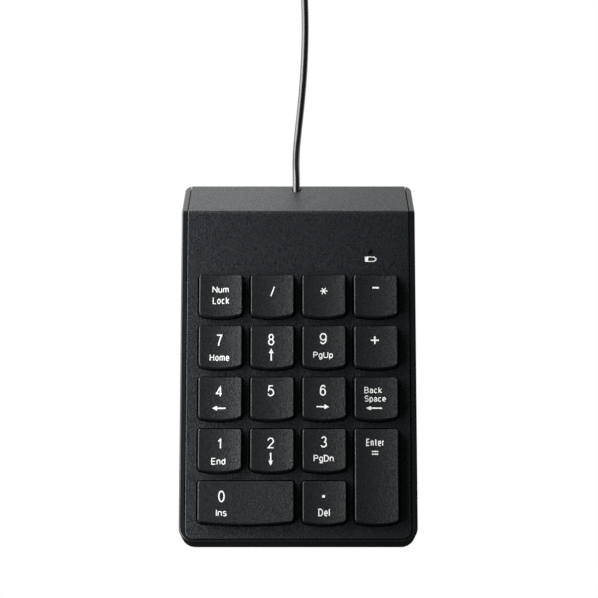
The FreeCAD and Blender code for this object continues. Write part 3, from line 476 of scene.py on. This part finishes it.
def printed(name, node, body, strokes, origin):
    """The strokes as thin raised ink on a node's surface; origin is their zero on the deck, in metres."""
    mesh = nodes[node].data
    surface = BVHTree.FromPolygons([v.co.copy() for v in mesh.vertices],
                                   [tuple(p.vertices) for p in mesh.polygons])
    points, faces = [], []

    def landed(place):
        start = ON_DECK @ Vector((origin.x + place.x * MM, origin.y + place.y * MM, origin.z + RAY_START))
        return surface.ray_cast(start, -W)[0]

    for order, stroke in enumerate(strokes):
        left, right = edges_of(finely(stroke))
        lift = W * (INK_LIFT + order * INK_STEP) * MM
        first = len(points)
        for a, b in zip(left, right):
            a, b = landed(a), landed(b)
            points += [a + lift, b + lift, b - W * INK_ROOT * MM, a - W * INK_ROOT * MM]
        for k in range(len(left) - 1):
            here, there = first + 4 * k, first + 4 * k + 4
            for side in range(4):
                other = (side + 1) % 4
                faces.append((here + side, here + other, there + other, there + side))
        last = first + 4 * (len(left) - 1)
        faces.append((first + 3, first + 2, first + 1, first))
        faces.append((last, last + 1, last + 2, last + 3))
    ink = bpy.data.meshes.new(name)
    ink.from_pydata(points, [], faces)
    ink.materials.append(INK)
    shaped = bmesh.new()
    shaped.from_mesh(ink)
    bmesh.ops.recalc_face_normals(shaped, faces=shaped.faces)
    shaped.to_mesh(ink)
    shaped.free()
    obj = new_object(name, ink)
    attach(obj, body)
    return obj


def legends():
    """One printed piece for each key, which goes down with it."""
    for name, strokes in LEGENDS.items():
        low, high = deck_box(name)
        rise = (KEY_HIGH.y - high.y) * INK_RISE
        origin = Vector(((low.x + high.x) / 2 + INK_SHIFT * MM, high.y - KEY_FLARE * MM + rise, high.z))
        body = next(j["child"] for j in frame["joints"] if j["name"] == name + "_press")
        printed("legend_" + name[4:], name, body, strokes, origin)


CELL_LINE = 0.15             # half thickness of the symbol's line, in mm as all of the symbol
CELL_BACK, CELL_SHOULDER, CELL_NOSE = -1.95, 1.2, 1.9
CELL_SIDE, CELL_TIP = 0.83, 0.35
CELL_FILLED = (-0.95, 0.75)  # where the filled end stops, and half its height
CELL_PLACE = (-0.18, -2.65)  # the symbol's zero from the middle of the light


def icon():
    """Symbol in front of the number lock light: a lying cell with one end filled."""
    low, high = deck_box("light_pipe")
    x, y = CELL_PLACE
    origin = Vector(((low.x + high.x) / 2 + x * MM, (low.y + high.y) / 2 + y * MM, high.z))
    half = [(CELL_BACK, 0), (CELL_BACK, CELL_SIDE), (CELL_SHOULDER, CELL_SIDE), (CELL_NOSE, CELL_TIP)]
    outline = half + [(x, -y) for x, y in reversed(half)]
    end, height = CELL_FILLED
    strokes = [[(x, y, CELL_LINE) for x, y in outline], bar((CELL_BACK, 0), (end, 0), height)]
    printed("lamp_symbol", "top_case", "case", strokes, origin)


legends()
icon()


# ---- rubber domes ------------------------------------------------------------------------------------
DOME_STEPS = 40
DOME_TOP = 1.2               # thickness of the pad that the stem stands on, in mm
MERGE = 1e-7                 # metres


def domes():
    """One hollow dome under each key's stem."""
    low, high = deck_box("rubber_domes")
    height = (high.z - low.z) / MM
    # Radius and height in mm: up the foot and the thin wall, over the pad, and down the inside.
    outline = [(4.9, 0), (4.95, 0.2), (4.9, 0.4), (4.4, 0.42), (3.0, height - 1.1), (2.85, height - 0.9),
               (2.8, height - 0.1), (2.7, height), (0, height), (0, height - DOME_TOP),
               (2.3, height - DOME_TOP), (3.9, 0)]
    for name in KEYS:
        key_low, key_high = deck_box(name)
        foot = Vector(((key_low.x + key_high.x) / 2, (key_low.y + key_high.y) / 2, low.z))
        points, faces = [], []
        for step in range(DOME_STEPS):
            a = 2 * math.pi * step / DOME_STEPS
            for r, h in outline:
                place = foot + Vector((r * math.cos(a), r * math.sin(a), h)) * MM
                points.append(ON_DECK @ place)
        count = len(outline)
        for step in range(DOME_STEPS):
            here, there = step * count, (step + 1) % DOME_STEPS * count
            for k in range(count):
                other = (k + 1) % count
                faces.append((here + k, there + k, there + other, here + other))
        mesh = bpy.data.meshes.new("dome_" + name[4:])
        mesh.from_pydata(points, [], faces)
        mesh.materials.append(SILICONE)
        shaped = bmesh.new()
        shaped.from_mesh(mesh)
        bmesh.ops.remove_doubles(shaped, verts=shaped.verts, dist=MERGE)
        bmesh.ops.recalc_face_normals(shaped, faces=shaped.faces)
        shaped.to_mesh(mesh)
        shaped.free()
        mesh.polygons.foreach_set("use_smooth", [True] * len(mesh.polygons))
        piece = new_object("dome_" + name[4:], mesh)
        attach(piece, "case")
        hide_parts("rubber_domes")
        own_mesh(piece)


domes()


# ---- cord --------------------------------------------------------------------------------------------
CORD_RADIUS = 0.0014         # metres; the routes are in mm
CORD_ROUTE = [
    (-0.7, 58.4, 10.9), (-0.75, 70.2, 10.9), (-0.95, 82.0, 5.3), (-0.2, 93.0, 1.7), (1.25, 107.0, 1.45),
    (2.35, 122.0, 1.4), (2.8, 139.0, 1.4), (2.3, 156.0, 1.4), (1.6, 168.0, 1.9),
]
TAIL_ROUTE = [(4.6, 187.0, 5.4), (5.4, 198.0, 4.6), (11.0, 207.0, 4.1), (20.5, 211.0, 4.0),
              (30.0, 211.5, 4.0)]
COIL_TURNS = 8
COIL_STEPS = 24              # points in each turn
COIL_LANES = 3               # turns side by side in each layer
CORD_SMOOTH = 6              # resolution along the cord and round it


def coil_points():
    """Turns wound clockwise in layers, from the left side where the cord comes in."""
    low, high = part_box("cord_coil")
    middle = (low + high) / 2
    mean = (high.x - low.x) / 2 - COIL_LANES * CORD_RADIUS
    base = low.z + CORD_RADIUS
    points = []
    for step in range(COIL_TURNS * COIL_STEPS):
        turn = step / COIL_STEPS
        angle = math.pi - 2 * math.pi * turn
        layer, place = divmod(int(turn), COIL_LANES)
        lane = COIL_LANES // 2 - place if layer % 2 == 0 else place - COIL_LANES // 2
        radius = mean + lane * 2 * CORD_RADIUS
        height = base + layer * 2 * CORD_RADIUS
        points.append((middle.x + radius * math.cos(angle), middle.y + radius * math.sin(angle), height))
    return points


def cord():
    points = [Vector(p) * MM for p in CORD_ROUTE]
    points += [Vector(p) for p in coil_points()]
    points += [Vector(p) * MM for p in TAIL_ROUTE]
    curve = bpy.data.curves.new("cord_jacket", "CURVE")
    curve.dimensions = "3D"
    spline = curve.splines.new("NURBS")
    spline.points.add(len(points) - 1)
    for point, place in zip(spline.points, points):
        point.co = (*place, 1)
    spline.order_u = 3
    spline.use_endpoint_u = True
    spline.resolution_u = CORD_SMOOTH
    curve.bevel_depth = CORD_RADIUS
    curve.bevel_resolution = CORD_SMOOTH
    curve.use_fill_caps = True
    curve.materials.append(JACKET)
    lead = new_object("cord_lead", curve)
    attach(lead, "case")
    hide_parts("cord", "cord_coil", "cord_tail")


cord()
